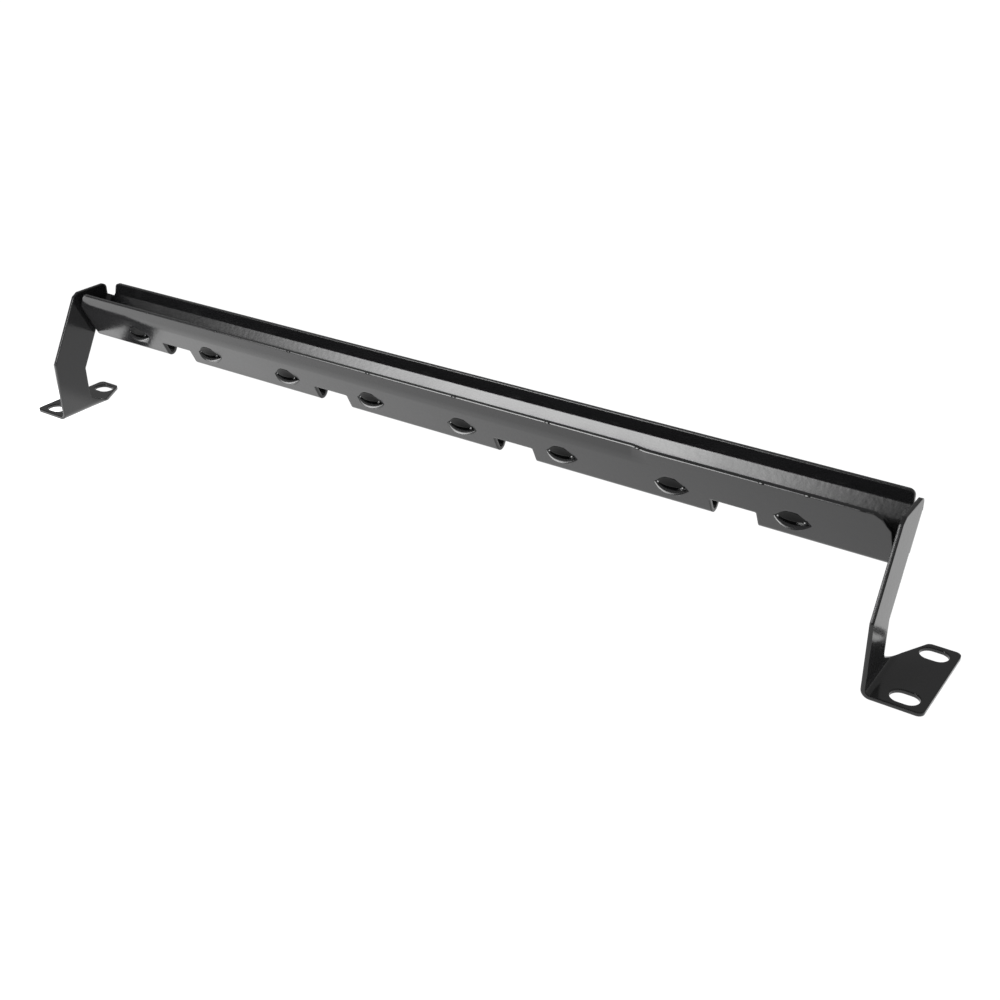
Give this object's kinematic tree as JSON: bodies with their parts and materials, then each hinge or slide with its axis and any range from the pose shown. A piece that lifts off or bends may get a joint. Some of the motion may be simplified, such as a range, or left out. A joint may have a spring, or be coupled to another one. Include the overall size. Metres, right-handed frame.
{
  "type": "cable lacing bar",
  "caption": "Folded sheet-metal bar with a V-shaped trough, lanced tie points, strap notches and slotted ears for rack rails.",
  "frame": {"origin": "middle of the four rail slots, on the underside of the two ears", "axes": "+X along the bar to the right ear, +Y from the bar's front wall to its web, +Z away from the rails towards the bar"},
  "size_m": [0.4826, 0.0444, 0.0655],
  "materials": {
    "black_coat": "semi-gloss black powder coat over folded steel sheet"
  },
  "bodies": {
    "root": {"lacing_bar": "black_coat"}
  },
  "joints": []
}
